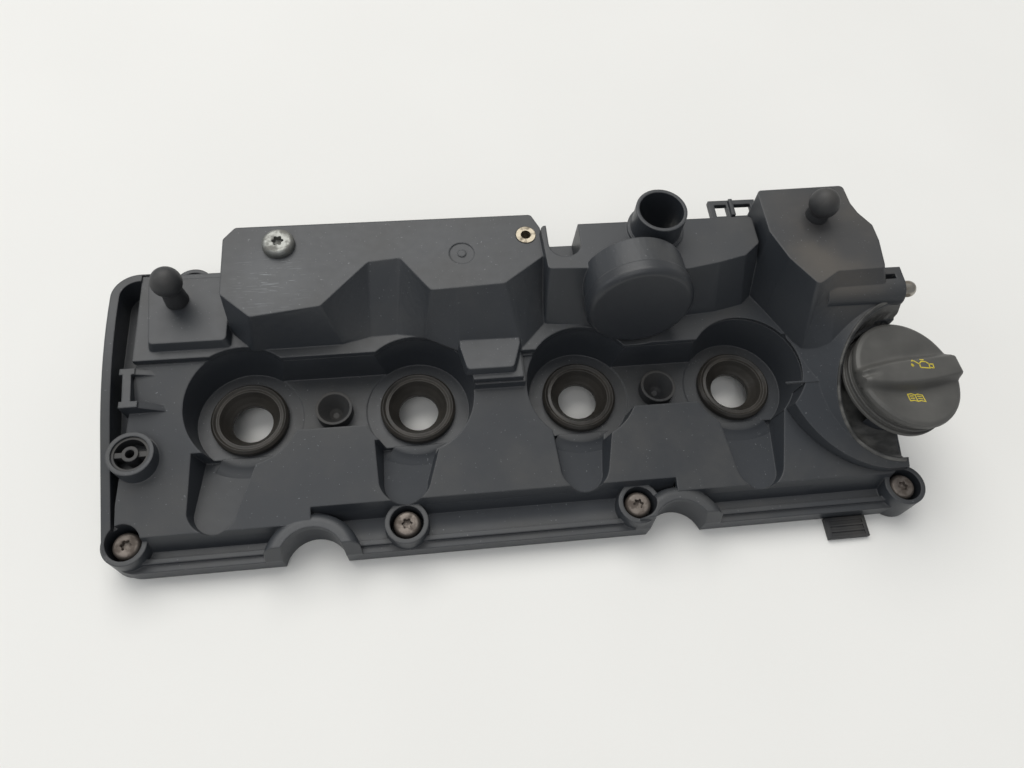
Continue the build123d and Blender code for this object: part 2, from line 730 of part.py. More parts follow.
def cover_bolt(x, y):
    """Captive flanged bolt, pushed up by the surface the cover lies on."""
    top = seat_z + bolt_travel + head_h
    tip = gasket_stand - 0.3
    low = top - head_h
    bolt = tub(x, y, low, low + head_rim, head_r, head_r)
    bolt = bolt + tub(x, y, low + head_rim, top, head_r, head_flat_r)
    bolt = bolt - hexagon(x, y, top - socket_depth, top + 1, socket_flats)
    return bolt + tub(x, y, tip, low, shank_r, shank_r)


def sleeves():
    """Steel spacer sleeves moulded into the bolt bosses."""
    bore = shank_r + slide_gap
    out = []
    for x, y in all_bolts():
        out.append(tub(x, y, gasket_stand, seat_z, sleeve_r, sleeve_r) - tub(x, y, 0, 60, bore, bore))
    return Compound(children=out)


def separator_screw():
    """Broad pan-head screw at the belt end of the separator."""
    x, y = screw_at
    neck = plateau_z + screw_foot_t
    head = tub(x, y, plateau_z, neck, screw_foot_r, screw_foot_r)
    head = head + tub(x, y, neck, plateau_z + screw_head_t, screw_head_r, screw_head_flat_r)
    head = head + tub(x, y, plateau_z - screw_depth, plateau_z, screw_r, screw_r)
    return head - hexagon(x, y, plateau_z + 1.8, plateau_z + 5.0, 5.0)


def threaded_insert():
    """Brass insert for an M6 screw, flush with the plateau."""
    x, y = insert_at
    low = plateau_z - insert_depth
    body = tub(x, y, low, plateau_z + 0.4, insert_r, insert_r)
    return body - tub(x, y, low - 1, plateau_z + 1, insert_bore, insert_bore)


# ------------------------------------------------------------------ pressure valve
def valve_cap():
    cap = Pos(0, 0, -valve_cap_t / 2) * Cylinder(drum_r, valve_cap_t)
    cap = drum_plane.location * fillet(cap.edges().group_by(Axis.Z)[-1], 3.5)
    return cap - on(drum_plane, -valve_cap_t - 1, -2.4, drum_r - 3.0)


def valve_diaphragm():
    """Rolling rubber diaphragm, held between the cap and the housing."""
    rim = ring(drum_plane, -valve_cap_t, -valve_cap_t + 2.0, drum_r - 3.0, 17.0)
    skin = ring(drum_plane, -valve_cap_t, -valve_cap_t + 1.0, 17.5, 11.0)
    return rim + skin


def valve_plate():
    plate_back = -valve_cap_t - plate_rim
    plate = on(drum_plane, plate_back, -valve_cap_t + 1.0, valve_plate_r)
    return plate + on(drum_plane, -valve_cap_t - valve_boss_t, plate_back, valve_boss_r)


def valve_spring():
    """Compression spring behind the diaphragm plate, coiled in short straight runs."""
    z0 = -spring_seat + spring_wire / 2
    length = spring_seat - valve_cap_t - plate_rim - spring_wire
    route = []
    for i in range(spring_turns * runs_per_turn + 1):
        turn = i / runs_per_turn
        a = 2 * pi * turn
        place = (spring_r * cos(a), spring_r * sin(a), z0 + length * turn / spring_turns)
        route.append(drum_plane.from_local_coords(place))
    path = Polyline(*route)
    section = Plane(origin=path @ 0, z_dir=path % 0) * RegularPolygon(spring_wire / 2, 6)
    return sweep(section, path, transition=Transition.RIGHT)


# ------------------------------------------------------------------ oil filler cap
def oil_cap():
    """Cap with a stepped skirt and a grip bar across its top."""
    body = on(filler_plane, -cap_rim_t, 0, cap_r - 0.4, cap_r - 1.2)
    body = body + on(filler_plane, -cap_rim_t, -cap_rim_t + 4.0, cap_r)
    body = body + on(filler_plane, -neck_top_drop, -cap_rim_t, cap_r - 2.0)
    body = body + on(filler_plane, -neck_top_drop, -neck_top_drop + 2.0, cap_r - 0.4)
    body = body + on(filler_plane, -neck_top_drop - skirt_low, -neck_top_drop, neck_r + wall)
    body = body - on(filler_plane, -neck_top_drop - skirt_low - 1, cap_roof, neck_r + fit_gap)
    body = body + on(filler_plane, -neck_top_drop - plug_reach, -cap_rim_t - 1, mouth_r - fit_gap)
    body = body - on(filler_plane, -neck_top_drop - plug_reach - 1, -cap_rim_t - 1, mouth_r - 3.0)
    # grip bar: waisted in the middle, flared at both ends
    half = cap_r + 0.6
    outline = Polyline((-half, -bar_end), (0, -bar_middle), (half, -bar_end))
    outline = outline + Polyline((half, -bar_end), (half, bar_end))
    outline = outline + Polyline((half, bar_end), (0, bar_middle), (-half, bar_end), (-half, -bar_end))
    bar = extrude(make_face(outline), bar_height, taper=bar_taper)
    bar = filler_plane.location * (Rot(0, 0, bar_turn) * Pos(0, 0, -bar_foot) * bar)
    return body + bar


def cap_seal():
    return ring(filler_plane, fit_gap - neck_top_drop, cap_roof, neck_r - 0.6, mouth_r)


# ------------------------------------------------------------------ small fittings
def ball_stud(x, y, base_z, z):
    """Round-headed post that an engine trim cover clips onto."""
    body = Pos(x, y, z) * Sphere(stud_ball_r) + tub(x, y, base_z, z, stud_ball_r * 0.78, stud_ball_r * 0.62)
    return body


def belt_guard_bush():
    """Soft bush in the ring boss: hub on two webs."""
    x, y = ring_at
    z0, z1 = ring_top - 9, ring_top - 1.0
    outer = ring_r - ring_wall
    inner = outer - bush_wall
    rim = tub(x, y, z0, z1, outer, outer) - tub(x, y, z0 - 1, z1 + 1, inner, inner)
    hub = tub(x, y, z0, z1 + 0.6, hub_r, hub_r)
    web = block(x - inner - 0.5, x + inner + 0.5, y - bush_wall, y + bush_wall, z0, z1 - 0.6)
    return rim + hub + web - tub(x, y, z0 - 1, z1 + 2, hub_bore, hub_bore)


def loom_bracket():
    """Bracket for a wiring loom clip on the back of the separator."""
    plate = block(126, 153, upper_back - 1.0, 96, 63, 66)
    plate = plate - block(129, 136, 85, 93, 60, 70) - block(139, 150, 85, 93, 60, 70)
    return plate + block(137, 139, 84, 95, 66, 68.5) - upper_bulk(0.0)


def hose_clip_pin():
    """Round-ended pin in the toothed clip boss beside the tower."""
    end = clip_plane.location * (Pos(0, 0, clip_length + pin_out) * Sphere(pin_r))
    return on(clip_plane, clip_length - pin_depth, clip_length + pin_out, pin_r) + end


os.makedirs("parts", exist_ok=True)
pieces = {
    "cover_body": build_lower(),
    "separator_cover": build_upper(),
    "head_gasket": head_gasket(),
    "bolt_sleeves": sleeves(),
    "separator_screw": separator_screw(),
    "threaded_insert": threaded_insert(),
    "valve_cap": valve_cap(),
    "valve_diaphragm": valve_diaphragm(),
    "valve_plate": valve_plate(),
    "valve_spring": valve_spring(),
    "oil_cap": oil_cap(),
    "cap_seal": cap_seal(),
    "trim_stud_left": ball_stud(*left_stud, block_z, 70.0),
    "trim_stud_right": ball_stud(*right_stud, tower_z, 98.0),
    "belt_guard_bush": belt_guard_bush(),
    "loom_bracket": loom_bracket(),
    "hose_clip_pin": hose_clip_pin(),
}
for i, x in enumerate(well_x):
    pieces[f"injector_seal_{i + 1}"] = injector_seal(x)
for i, x in enumerate(plug_x):
    pieces[f"clamp_plug_{i + 1}"] = clamp_plug(x)
for i, (x, y) in enumerate(all_bolts()):
    pieces[f"cover_bolt_{i + 1}"] = cover_bolt(x, y)
for node, shape in pieces.items():
    save(node, shape)
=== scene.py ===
"""Engine valve cover: finishes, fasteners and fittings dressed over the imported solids."""
from math import atan2, cos, pi, radians, sin

import bmesh
import bpy
from mathutils import Matrix, Vector


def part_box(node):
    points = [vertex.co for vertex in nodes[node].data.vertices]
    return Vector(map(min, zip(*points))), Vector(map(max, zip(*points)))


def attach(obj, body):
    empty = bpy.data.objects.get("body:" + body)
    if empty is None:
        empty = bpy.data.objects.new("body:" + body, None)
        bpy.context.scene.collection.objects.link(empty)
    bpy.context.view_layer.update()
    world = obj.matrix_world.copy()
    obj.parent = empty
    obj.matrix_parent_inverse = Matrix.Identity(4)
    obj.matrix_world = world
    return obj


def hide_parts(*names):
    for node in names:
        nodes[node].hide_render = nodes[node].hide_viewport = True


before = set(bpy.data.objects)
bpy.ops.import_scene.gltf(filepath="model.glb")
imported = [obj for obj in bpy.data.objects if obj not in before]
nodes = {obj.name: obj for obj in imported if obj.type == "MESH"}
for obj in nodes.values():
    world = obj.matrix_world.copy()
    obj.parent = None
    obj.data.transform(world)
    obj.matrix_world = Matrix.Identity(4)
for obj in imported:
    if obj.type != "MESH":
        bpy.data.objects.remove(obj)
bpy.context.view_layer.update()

# ---------------------------------------------------------------- white paper and the light over it
# The cover lies on a roll of white paper, under one broad soft lamp and the light of a pale room.
# Paper is a nearly flat white; the room is white where it is seen directly or mirrored.
paper_white = (0.86, 0.855, 0.825, 1)
paper_cream = (0.845, 0.84, 0.81, 1)
paper_reach = 6.0


class Wire:
    """An output of a shader node, with arithmetic."""

    def __init__(self, finish, socket):
        self.finish = finish
        self.socket = socket

    def math(self, operation, *operands):
        return self.finish.add("ShaderNodeMath", {"operation": operation}, dict(enumerate(operands)))

    def __add__(self, other):
        return self.math("ADD", self, other)

    def __radd__(self, other):
        return self.math("ADD", other, self)

    def __sub__(self, other):
        return self.math("SUBTRACT", self, other)

    def __rsub__(self, other):
        return self.math("SUBTRACT", other, self)

    def __mul__(self, other):
        return self.math("MULTIPLY", self, other)

    def __rmul__(self, other):
        return self.math("MULTIPLY", other, self)

    def __pow__(self, other):
        return self.math("POWER", self, other)

    def between(self, low, high):
        """0 below low and 1 above high, smooth in between."""
        settings = {"interpolation_type": "SMOOTHSTEP"}
        values = {"From Min": low, "From Max": high, "Value": self}
        return self.finish.add("ShaderNodeMapRange", settings, values)


class Finish:
    """A material and the nodes it is made of."""

    def __init__(self, name):
        self.material = bpy.data.materials.new(name)
        self.material.use_nodes = True
        self.nodes = self.material.node_tree.nodes
        self.links = self.material.node_tree.links
        self.nodes.clear()
        self.place = self.add("ShaderNodeTexCoord", output="Object")

    def add(self, kind, settings=None, values=None, output=0):
        """Adds a node: its settings first, then the values or links of its sockets."""
        node = self.nodes.new(kind)
        for key, value in (settings or {}).items():
            setattr(node, key, value)
        for key, value in (values or {}).items():
            if isinstance(value, Wire):
                self.links.new(value.socket, node.inputs[key])
            else:
                node.inputs[key].default_value = value
        return Wire(self, node.outputs[output])

    def noise(self, scale, detail=3.0, stretch=(1, 1, 1), turn=0.0):
        """Cloudy pattern from 0 to 1; scale counts its patches to the metre."""
        values = {"Vector": self.place, "Scale": stretch, "Rotation": (0, 0, turn)}
        spot = self.add("ShaderNodeMapping", {}, values)
        return self.add("ShaderNodeTexNoise", {}, {"Vector": spot, "Scale": scale, "Detail": detail})

    def blend(self, share, low, high):
        """Colour low where share is 0, high where it is 1."""
        settings = {"data_type": "RGBA"}
        return self.add("ShaderNodeMix", settings, {0: share, 6: low, 7: high}, output=2)

    def part(self, vector, axis):
        """One coordinate of a vector."""
        return self.add("ShaderNodeSeparateXYZ", {}, {"Vector": vector}, output=axis)

    def bump(self, height, strength, distance, normal=None):
        """Normal of a finely uneven surface, on top of another normal if one is given."""
        values = {"Height": height, "Strength": strength, "Distance": distance}
        if normal:
            values["Normal"] = normal
        return self.add("ShaderNodeBump", {}, values)

    def done(self, **values):
        """Closes the material with its surface shader."""
        named = {key.replace("_", " "): value for key, value in values.items()}
        surface = self.add("ShaderNodeBsdfPrincipled", {}, named)
        sink = self.nodes.new("ShaderNodeOutputMaterial")
        self.links.new(surface.socket, sink.inputs["Surface"])
        return self.material


def placed(name, data):
    """New object of the scene that holds a mesh, lamp or lens."""
    thing = bpy.data.objects.new(name, data)
    bpy.context.scene.collection.objects.link(thing)
    return thing


paper = Finish("white_paper")
fibres = paper.noise(900, 4)
clouds = paper.noise(7, 2)
paper_tone = paper.blend(clouds.between(0.3, 0.75), paper_cream, paper_white)
paper.done(Base_Color=paper_tone, Roughness=0.85, Normal=paper.bump(fibres, 0.12, 0.0004))

sheet_mesh = bpy.data.meshes.new("paper_sheet")
half = paper_reach / 2
corners = [(-half, -half, 0), (half, -half, 0), (half, half, 0), (-half, half, 0)]
sheet_mesh.from_pydata(corners, [], [(0, 1, 2, 3)])
sheet_mesh.materials.append(paper.material)
placed("paper_sheet", sheet_mesh)

room = bpy.data.worlds.new("pale_room")
room.use_nodes = True
room_nodes = room.node_tree.nodes
room_links = room.node_tree.links
room_light = room_nodes["Background"]
room_light.inputs["Color"].default_value = (0.95, 0.97, 1.0, 1)
room_light.inputs["Strength"].default_value = 0.33
room_seen = room_nodes.new("ShaderNodeBackground")
room_seen.inputs["Color"].default_value = paper_white
room_seen.inputs["Strength"].default_value = 1.0
ray = room_nodes.new("ShaderNodeLightPath")
room_mix = room_nodes.new("ShaderNodeMixShader")
room_links.new(ray.outputs["Is Camera Ray"], room_mix.inputs[0])
room_links.new(room_light.outputs[0], room_mix.inputs[1])
room_links.new(room_seen.outputs[0], room_mix.inputs[2])
room_links.new(room_mix.outputs[0], room_nodes["World Output"].inputs["Surface"])
bpy.context.scene.world = room
bpy.context.scene.view_settings.view_transform = "Standard"


def soft_lamp(name, place, size, power, colour):
    """Square soft box that looks from its place at the cover."""
    lamp = bpy.data.lights.new(name, "AREA")
    lamp.size = size
    lamp.energy = power
    lamp.color = colour
    aimed = Vector(place).to_track_quat("Z", "Y").to_matrix().to_4x4()
    placed(name, lamp).matrix_world = Matrix.Translation(place) @ aimed


soft_lamp("overhead_softbox", (-0.9, 3.3, 5.3), 5.4, 295, (1.0, 0.985, 0.955))
soft_lamp("window_side", (-3.2, 0.6, 1.8), 1.9, 16, (0.95, 0.98, 1.0))
soft_lamp("front_ceiling", (-0.7, -1.7, 3.3), 1.8, 22, (0.98, 0.985, 1.0))

# ---------------------------------------------------------------- camera
# A phone held above the front edge, turned and tipped towards the separator.
camera_place = Vector((-0.0356, -0.1741, 0.4026))
camera_yaw = radians(-13.32)
camera_pitch = radians(26.55)
camera_roll = radians(8.11)
image_width = 1024
focal_pixels = 769

lens = bpy.data.cameras.new("phone")
lens.sensor_width = 36
lens.lens = lens.sensor_width * focal_pixels / image_width
lens.clip_start = 0.01
phone = placed("phone", lens)
turned = Matrix.Rotation(camera_yaw, 4, "Z") @ Matrix.Rotation(camera_pitch, 4, "X")
phone.matrix_world = Matrix.Translation(camera_place) @ turned @ Matrix.Rotation(camera_roll, 4, "Z")
bpy.context.scene.camera = phone

# ---------------------------------------------------------------- moulded shells and the loom bracket
# Charcoal glass-filled polyamide, satin from the mould, with rounded edges that catch the light and a painted
# highlight along them.
# Dust lies on what faces up, and the belt end of the separator's flat top is scuffed pale.
shell_black = (0.030, 0.034, 0.040, 1)
shell_dust = (0.078, 0.076, 0.071, 1)
shell_brown = (0.098, 0.086, 0.072, 1)
edge_highlight_grey = (0.105, 0.108, 0.112, 1)
scuff_white = (0.23, 0.24, 0.25, 1)
edge_radius = 0.0011
scuff_place = (-0.112, 0.052, 0.075)
scuff_reach = 0.026
tower_place = (0.178, 0.050, 0.088)
tower_reach = 0.050
dust_share = 0.62
edge_highlight_share = 0.5
# Painted shade: the pipe troughs and spots beside the drip bowl are kept dark, without dust, and duller:
# limits of the troughs, spots with their reach.
hollow_top = 0.0202
hollow_fade = 0.0004
hollow_front = (-0.066, -0.060)
hollow_back = (-0.026, -0.018)
hollow_end_squared = (0.026, 0.0275)
hollow_left = (-0.22, -0.04)
painted_shade_share = 0.97
painted_shade_spots = (
    ((0.166, -0.022, 0.038), 0.044), ((0.152, 0.020, 0.052), 0.036), ((0.166, 0.002, 0.056), 0.030),
)


def rounded(finish, radius):
    """Normal of the surface with its sharp edges rolled over, and how near an edge it is."""
    soft = finish.add("ShaderNodeBevel", {"samples": 6}, {"Radius": radius})
    flat = finish.add("ShaderNodeNewGeometry", output="Normal")
    settings = {"operation": "DOT_PRODUCT"}
    agree = finish.add("ShaderNodeVectorMath", settings, {0: soft, 1: flat}, output="Value")
    return soft, (1 - agree).between(0.01, 0.22)


def facing_up(finish):
    """1 on level ground, 0 on upright walls."""
    return finish.part(finish.add("ShaderNodeNewGeometry", output="Normal"), "Z")


def near(finish, spot, reach):
    """1 at a spot, fading to 0 at its reach."""
    settings = {"operation": "DISTANCE"}
    gap = finish.add("ShaderNodeVectorMath", settings, {0: finish.place, 1: spot}, output="Value")
    return 1 - gap.between(0.2 * reach, reach)


def scratches(finish, turn, scale=95):
    """Thin straight marks that run one way."""
    lines = finish.noise(scale, 2, (1, 16, 1), turn)
    return lines.between(0.665, 0.69)


def moulded(name, black, dust, shine):
    """Dusty moulded plastic with a painted highlight on its edges and painted shade in the troughs; shine is
    its least roughness.
    """
    skin = Finish(name)
    normal, edge = rounded(skin, edge_radius)
    up = facing_up(skin).between(0.15, 0.95)
    clouds = skin.noise(26, 5)
    fine = skin.noise(240, 4)
    grain = skin.noise(2600, 2)
    along, depth, height = [skin.part(skin.place, axis) for axis in "XYZ"]
    # painted shade: the troughs and the spots by the bowl lose their dust colour and turn darker and duller
    painted_shade = (1 - height.between(hollow_top - hollow_fade, hollow_top)) * depth.between(*hollow_front)
    painted_shade = painted_shade * (1 - depth.between(*hollow_back)) * (1 - (along ** 2.0).between(*hollow_end_squared))
    painted_shade = painted_shade * along.between(*hollow_left)
    for spot, reach in painted_shade_spots:
        painted_shade = painted_shade + near(skin, spot, reach)
    settings = {"operation": "MULTIPLY", "use_clamp": True}
    painted_shade = skin.add("ShaderNodeMath", settings, {0: painted_shade, 1: painted_shade_share})
    dusty = up * (0.25 + clouds.between(0.35, 0.75) * 0.75) * (0.55 + fine * 0.5) * (1 - painted_shade)
    colour = skin.blend(dusty * dust_share, black, dust)
    tower = near(skin, tower_place, tower_reach) * up
    colour = skin.blend(tower * (0.25 + clouds.between(0.3, 0.65) * 0.6), colour, shell_brown)
    scuff = near(skin, scuff_place, scuff_reach) * up
    marks = scratches(skin, 0.5) + scratches(skin, -0.35) * 0.6 + scratches(skin, 1.3, 60) * 0.5
    haze = scuff * (0.16 + marks * 0.7)
    colour = skin.blend(haze, colour, scuff_white)
    # painted highlight: every edge is lightened towards a pale grey
    colour = skin.blend(edge * edge_highlight_share, colour, edge_highlight_grey)
    specks = skin.noise(900, 1).between(0.745, 0.77) * up
    colour = skin.blend(specks * 0.5, colour, scuff_white)
    roughness = shine + dusty * 0.14 + haze * 0.2 + painted_shade * 0.3 + (fine - 0.5) * 0.1
    bump = skin.bump(grain * 0.6 + fine * 0.5, 0.22, 0.0002, normal)
    return skin.done(Base_Color=colour, Roughness=roughness, Specular_IOR_Level=0.5, Normal=bump)


def dress(material, *names):
    """Gives the solids of these names one material."""
    for name in names:
        mesh = nodes[name].data
        mesh.materials.clear()
        mesh.materials.append(material)


shell_plastic = moulded("moulded_shell_plastic", shell_black, shell_dust, 0.40)
dress(shell_plastic, "cover_body", "separator_cover", "loom_bracket")

# ---------------------------------------------------------------- valve housing lid
# Black polyamide lid snapped over the pressure valve, smoother than the shell.
lid_plastic = moulded("valve_lid_plastic", (0.026, 0.029, 0.034, 1), (0.055, 0.055, 0.053, 1), 0.36)
dress(lid_plastic, "valve_cap")


# ---------------------------------------------------------------- rubber seals, plugs, studs, bush and gasket
# Moulded rubber, oily and brown-black round the injectors, greyer on the studs.
# Fine mould grain, dull bloom on what faces up and a shine where oil has soaked in.
def rubber(name, black, bloom, dull):
    """Rubber with a bloom where it faces up or wears; dull is its middle roughness."""
    skin = Finish(name)
    normal, edge = rounded(skin, 0.0007)
    up = facing_up(skin).between(0.1, 0.9)
    clouds = skin.noise(60, 5)
    fine = skin.noise(520, 4)
    worn = (up * 0.5 + edge * 0.6) * clouds.between(0.3, 0.7)
    colour = skin.blend(worn, black, bloom)
    roughness = dull + (clouds - 0.5) * 0.35
    bump = skin.bump(fine + clouds, 0.3, 0.00025, normal)
    return skin.done(Base_Color=colour, Roughness=roughness, Specular_IOR_Level=0.45, Normal=bump)


seal_rubber = rubber("oily_seal_rubber", (0.024, 0.022, 0.019, 1), (0.070, 0.062, 0.052, 1), 0.42)
dress(seal_rubber, *[f"injector_seal_{i}" for i in range(1, 5)])
stud_rubber = rubber("stud_rubber", (0.028, 0.029, 0.031, 1), (0.075, 0.070, 0.062, 1), 0.55)
dress(stud_rubber, "clamp_plug_1", "clamp_plug_2", "belt_guard_bush", "trim_stud_left", "trim_stud_right")
dress(stud_rubber, "head_gasket", "cap_seal", "valve_diaphragm")


# ---------------------------------------------------------------- metal fittings in the solids
# Steel sleeves and pin, brass insert, spring wire, and the natural acetal plate of the valve.
def metal(name, tone, stain, rough, metallic=1.0):
    """Stained metal; rough is its roughness where it is unstained."""
    skin = Finish(name)
    normal, edge = rounded(skin, 0.0004)
    clouds = skin.noise(240, 5)
    grit = skin.noise(2200, 3)
    dirty = clouds.between(0.42, 0.66)
    colour = skin.blend(dirty * 0.7, tone, stain)
    roughness = rough + dirty * 0.22 - edge * 0.08
    bump = skin.bump(grit, 0.2, 0.00012, normal)
    bare = metallic * (1 - dirty * 0.35)
    return skin.done(Base_Color=colour, Roughness=roughness, Metallic=bare, Normal=bump)


plain_steel = metal("plain_steel", (0.40, 0.38, 0.34, 1), (0.12, 0.09, 0.06, 1), 0.32)
dress(plain_steel, "bolt_sleeves", "hose_clip_pin", "valve_spring")
insert_brass = metal("insert_brass", (0.36, 0.32, 0.25, 1), (0.10, 0.075, 0.05, 1), 0.40)
dress(insert_brass, "threaded_insert")
plate_acetal = metal("plate_acetal", (0.55, 0.54, 0.50, 1), (0.42, 0.40, 0.34, 1), 0.45, 0.001)
dress(plate_acetal, "valve_plate")


# ---------------------------------------------------------------- lands in front of the injector wells
# The round seat of each well runs out over the head of its pipe trough, and falls to it in a soft slope.
# Moulded with the lower shell.
well_middles = (-0.132, -0.044, 0.044, 0.132)
land_back = 0.0203
land_reach = 0.0246
land_top = 0.02056
land_columns = 24
land_profile = ((0.0, 20.56), (0.6, 20.3), (1.6, 19.6), (3.0, 18.8), (4.8, 18.3), (7.2, 17.9), (8.6, 17.2))
land_swing = radians(34)
land_low = 0.0165
land_sharp = radians(50)
millimetre = 0.001


def smooth(low, high, value):
    """0 up to low, 1 from high on, with an S-curve between them."""
    share = min(1.0, max(0.0, (value - low) / (high - low)))
    return share * share * (3 - 2 * share)


def slab(name, top, low, material):
    """Closed piece under a grid of points: the grid, its copy at or below low, and the wall between."""
    rows, count = len(top), len(top[0])
    mesh = bmesh.new()
    upper = [[mesh.verts.new(p) for p in row] for row in top]
    lower = [[mesh.verts.new((p[0], p[1], low(p))) for p in row] for row in top]
    for i in range(rows - 1):
        for j in range(count - 1):
            mesh.faces.new((upper[i][j], upper[i][j + 1], upper[i + 1][j + 1], upper[i + 1][j]))
            mesh.faces.new((lower[i][j], lower[i + 1][j], lower[i + 1][j + 1], lower[i][j + 1]))
    around = [(0, j) for j in range(count)] + [(i, count - 1) for i in range(1, rows)]
    around += [(rows - 1, j) for j in range(count - 2, -1, -1)] + [(i, 0) for i in range(rows - 2, 0, -1)]
    for (i, j), (k, m) in zip(around, around[1:] + around[:1]):
        mesh.faces.new((upper[i][j], lower[i][j], lower[k][m], upper[k][m]))
    bmesh.ops.recalc_face_normals(mesh, faces=mesh.faces)
    data = bpy.data.meshes.new(name)
    mesh.to_mesh(data)
    mesh.free()
    data.materials.append(material)
    for face in data.polygons:
        face.use_smooth = True
    data.set_sharp_from_angle(angle=land_sharp)
    piece = placed(name, data)
    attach(piece, "cover")


for number, middle in enumerate(well_middles, 1):
    rows = []
    for i in range(land_columns + 1):
        swing = land_swing * (2 * i / land_columns - 1)
        start = land_back / cos(swing)
        row = [(middle + start * sin(swing), -start * cos(swing), land_top)]
        for out, height in land_profile:
            reach = max(land_reach, start + 0.0002) + out * millimetre
            row.append((middle + reach * sin(swing), -reach * cos(swing), height * millimetre))
        rows.append(row)
    slab(f"well_land_{number}", rows, lambda p: land_low, shell_plastic)

# ---------------------------------------------------------------- separator, cut back round the fourth well
# The weld flange of the oil separator stops at the rim of the fourth injector well.
# Moulded in the same polyamide as the cover and vibration-welded to it.
well_floor = 0.0205
well_throat = 0.0281        # radius at the floor, and how much it grows with height
well_slant = 0.1405
well_cut_low = 0.022
well_cut_high = 0.047
weld_distance = 0.000002


def carved(name, node, cutters):
    """A copy of a shell with the cutters taken out of it."""
    work = bmesh.new()
    work.from_mesh(nodes[node].data)
    bmesh.ops.remove_doubles(work, verts=work.verts, dist=weld_distance)
    bmesh.ops.recalc_face_normals(work, faces=work.faces)
    whole = bpy.data.meshes.new(name + "_whole")
    work.to_mesh(whole)
    work.free()
    whole.materials.append(shell_plastic)
    draft = placed(name + "_draft", whole)
    tools = []
    for number, mesh in enumerate(cutters):
        tool = placed(f"{name}_tool_{number}", mesh)
        step = draft.modifiers.new(f"cut_{number}", "BOOLEAN")
        step.operation = "DIFFERENCE"
        step.solver = "EXACT"
        step.object = tool
        tools.append(tool)
    cut = draft.evaluated_get(bpy.context.evaluated_depsgraph_get())
    shape = bpy.data.meshes.new_from_object(cut)
    for done in [draft, *tools]:
        bpy.data.objects.remove(done)
    shape.name = name
    shape.materials.clear()
    shape.materials.append(shell_plastic)
    for face in shape.polygons:
        face.use_smooth = False
        face.material_index = 0
    piece = placed(name, shape)
    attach(piece, "cover")
    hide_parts(node)


cone = bmesh.new()
bmesh.ops.create_cone(
    cone, cap_ends=True, segments=96,
    radius1=well_throat + (well_cut_low - well_floor) * well_slant,
    radius2=well_throat + (well_cut_high - well_floor) * well_slant,
    depth=well_cut_high - well_cut_low,
    matrix=Matrix.Translation((well_middles[3], 0, (well_cut_low + well_cut_high) / 2)))
well_cutter = bpy.data.meshes.new("well_cutter")
cone.to_mesh(well_cutter)
cone.free()
carved("separator_shell", "separator_cover", [well_cutter])

# ---------------------------------------------------------------- lining of the drip bowl
# Thin lip and smooth scoop of the bowl round the filler neck, which catches what is spilled.
# Moulded with the separator, rubbed pale where rags and hands reach it, with a painted highlight along its
# lip and edges.
bowl_middle = Vector((0.2135, -0.0170, 0.0514))
bowl_rise = 0.6297
bowl_lip = ((37.9, -1.2), (37.9, 0.5), (37.6, 1.0), (37.1, 1.2), (36.6, 1.0), (36.3, 0.4), (36.1, -0.8))
bowl_floor = 0.0090         # below the rim
bowl_bend = 9.5             # width of the bend between rim and floor, in mm
bowl_curve = 2.2
bowl_width = 17.0           # lip to the inner edge of the floor, in mm
bowl_start = radians(92)
bowl_end = radians(268)
bowl_steps = 72
bowl_rings = 30
bowl_wall = 0.0015
flange_y, flange_z, flange_slope = -0.052, 0.0321, 0.372       # weld flange in front of the rim
panel_y, panel_z, panel_slope = -0.0461, 0.0273, 0.2309        # roof panel under the scoop
flange_air = 0.0001
panel_air = 0.0004
cap_tilt = radians(8.5)
cap_up = Vector((sin(cap_tilt), 0, cos(cap_tilt)))
cap_centre = Vector((0.2096, -0.0178, 0.063))
cap_clearance = ((23.4, -19.4), (30.7, -14.7), (33.2, -7.4))   # radius and height, in mm, from cap_centre
cap_step = 0.0004


def under_cap(point):
    """The point, lowered where the cap has to turn and lift."""
    for limit_radius, limit_height in cap_clearance:
        gap = point - cap_centre
        height = gap.dot(cap_up)
        radius = (gap - cap_up * height).length
        excess = height - limit_height * millimetre
        share = smooth(limit_radius * millimetre + cap_step, limit_radius * millimetre, radius)
        if excess > 0 and share > 0:
            return point - Vector((0, 0, excess * share))
    return point


def bowl_levels(y):
    """Heights at y: top of the bowl's rim or of the weld flange, and the floor of the scoop."""
    plane = bowl_middle.z + (y - bowl_middle.y) * bowl_rise
    top = max(plane, flange_z + (y - flange_y) * flange_slope + flange_air)
    return top, max(plane - bowl_floor, panel_z + (y - panel_y) * panel_slope + panel_air)


rows = []
for i in range(bowl_steps + 1):
    turn = bowl_start + (bowl_end - bowl_start) * i / bowl_steps
    row = []
    for radius, height in bowl_lip:
        x = bowl_middle.x + radius * millimetre * cos(turn)
        y = bowl_middle.y + radius * millimetre * sin(turn)
        row.append(Vector((x, y, bowl_levels(y)[0] + height * millimetre)))
    edge_top = row[-1].z
    for step in range(1, bowl_rings + 1):
        share = step / bowl_rings
        radius = (bowl_lip[-1][0] - bowl_width * share) * millimetre
        x = bowl_middle.x + radius * cos(turn)
        y = bowl_middle.y + radius * sin(turn)
        bend = 1 - (1 - min(1.0, share * bowl_width / bowl_bend)) ** bowl_curve
        floor = bowl_levels(y)[1]
        row.append(under_cap(Vector((x, y, edge_top + (floor - edge_top) * bend))))
    rows.append(row)
bowl_skin = Finish("rubbed_bowl_plastic")
bowl_normal, bowl_edge_highlight = rounded(bowl_skin, 0.0005)
bowl_streaks = bowl_skin.noise(55, 5, (1, 2.6, 1), 0.5)
bowl_clouds = bowl_skin.noise(60, 4)
bowl_grain = bowl_skin.noise(1500, 3)
bowl_rub = bowl_streaks.between(0.38, 0.68) * (0.45 + bowl_clouds * 0.8)
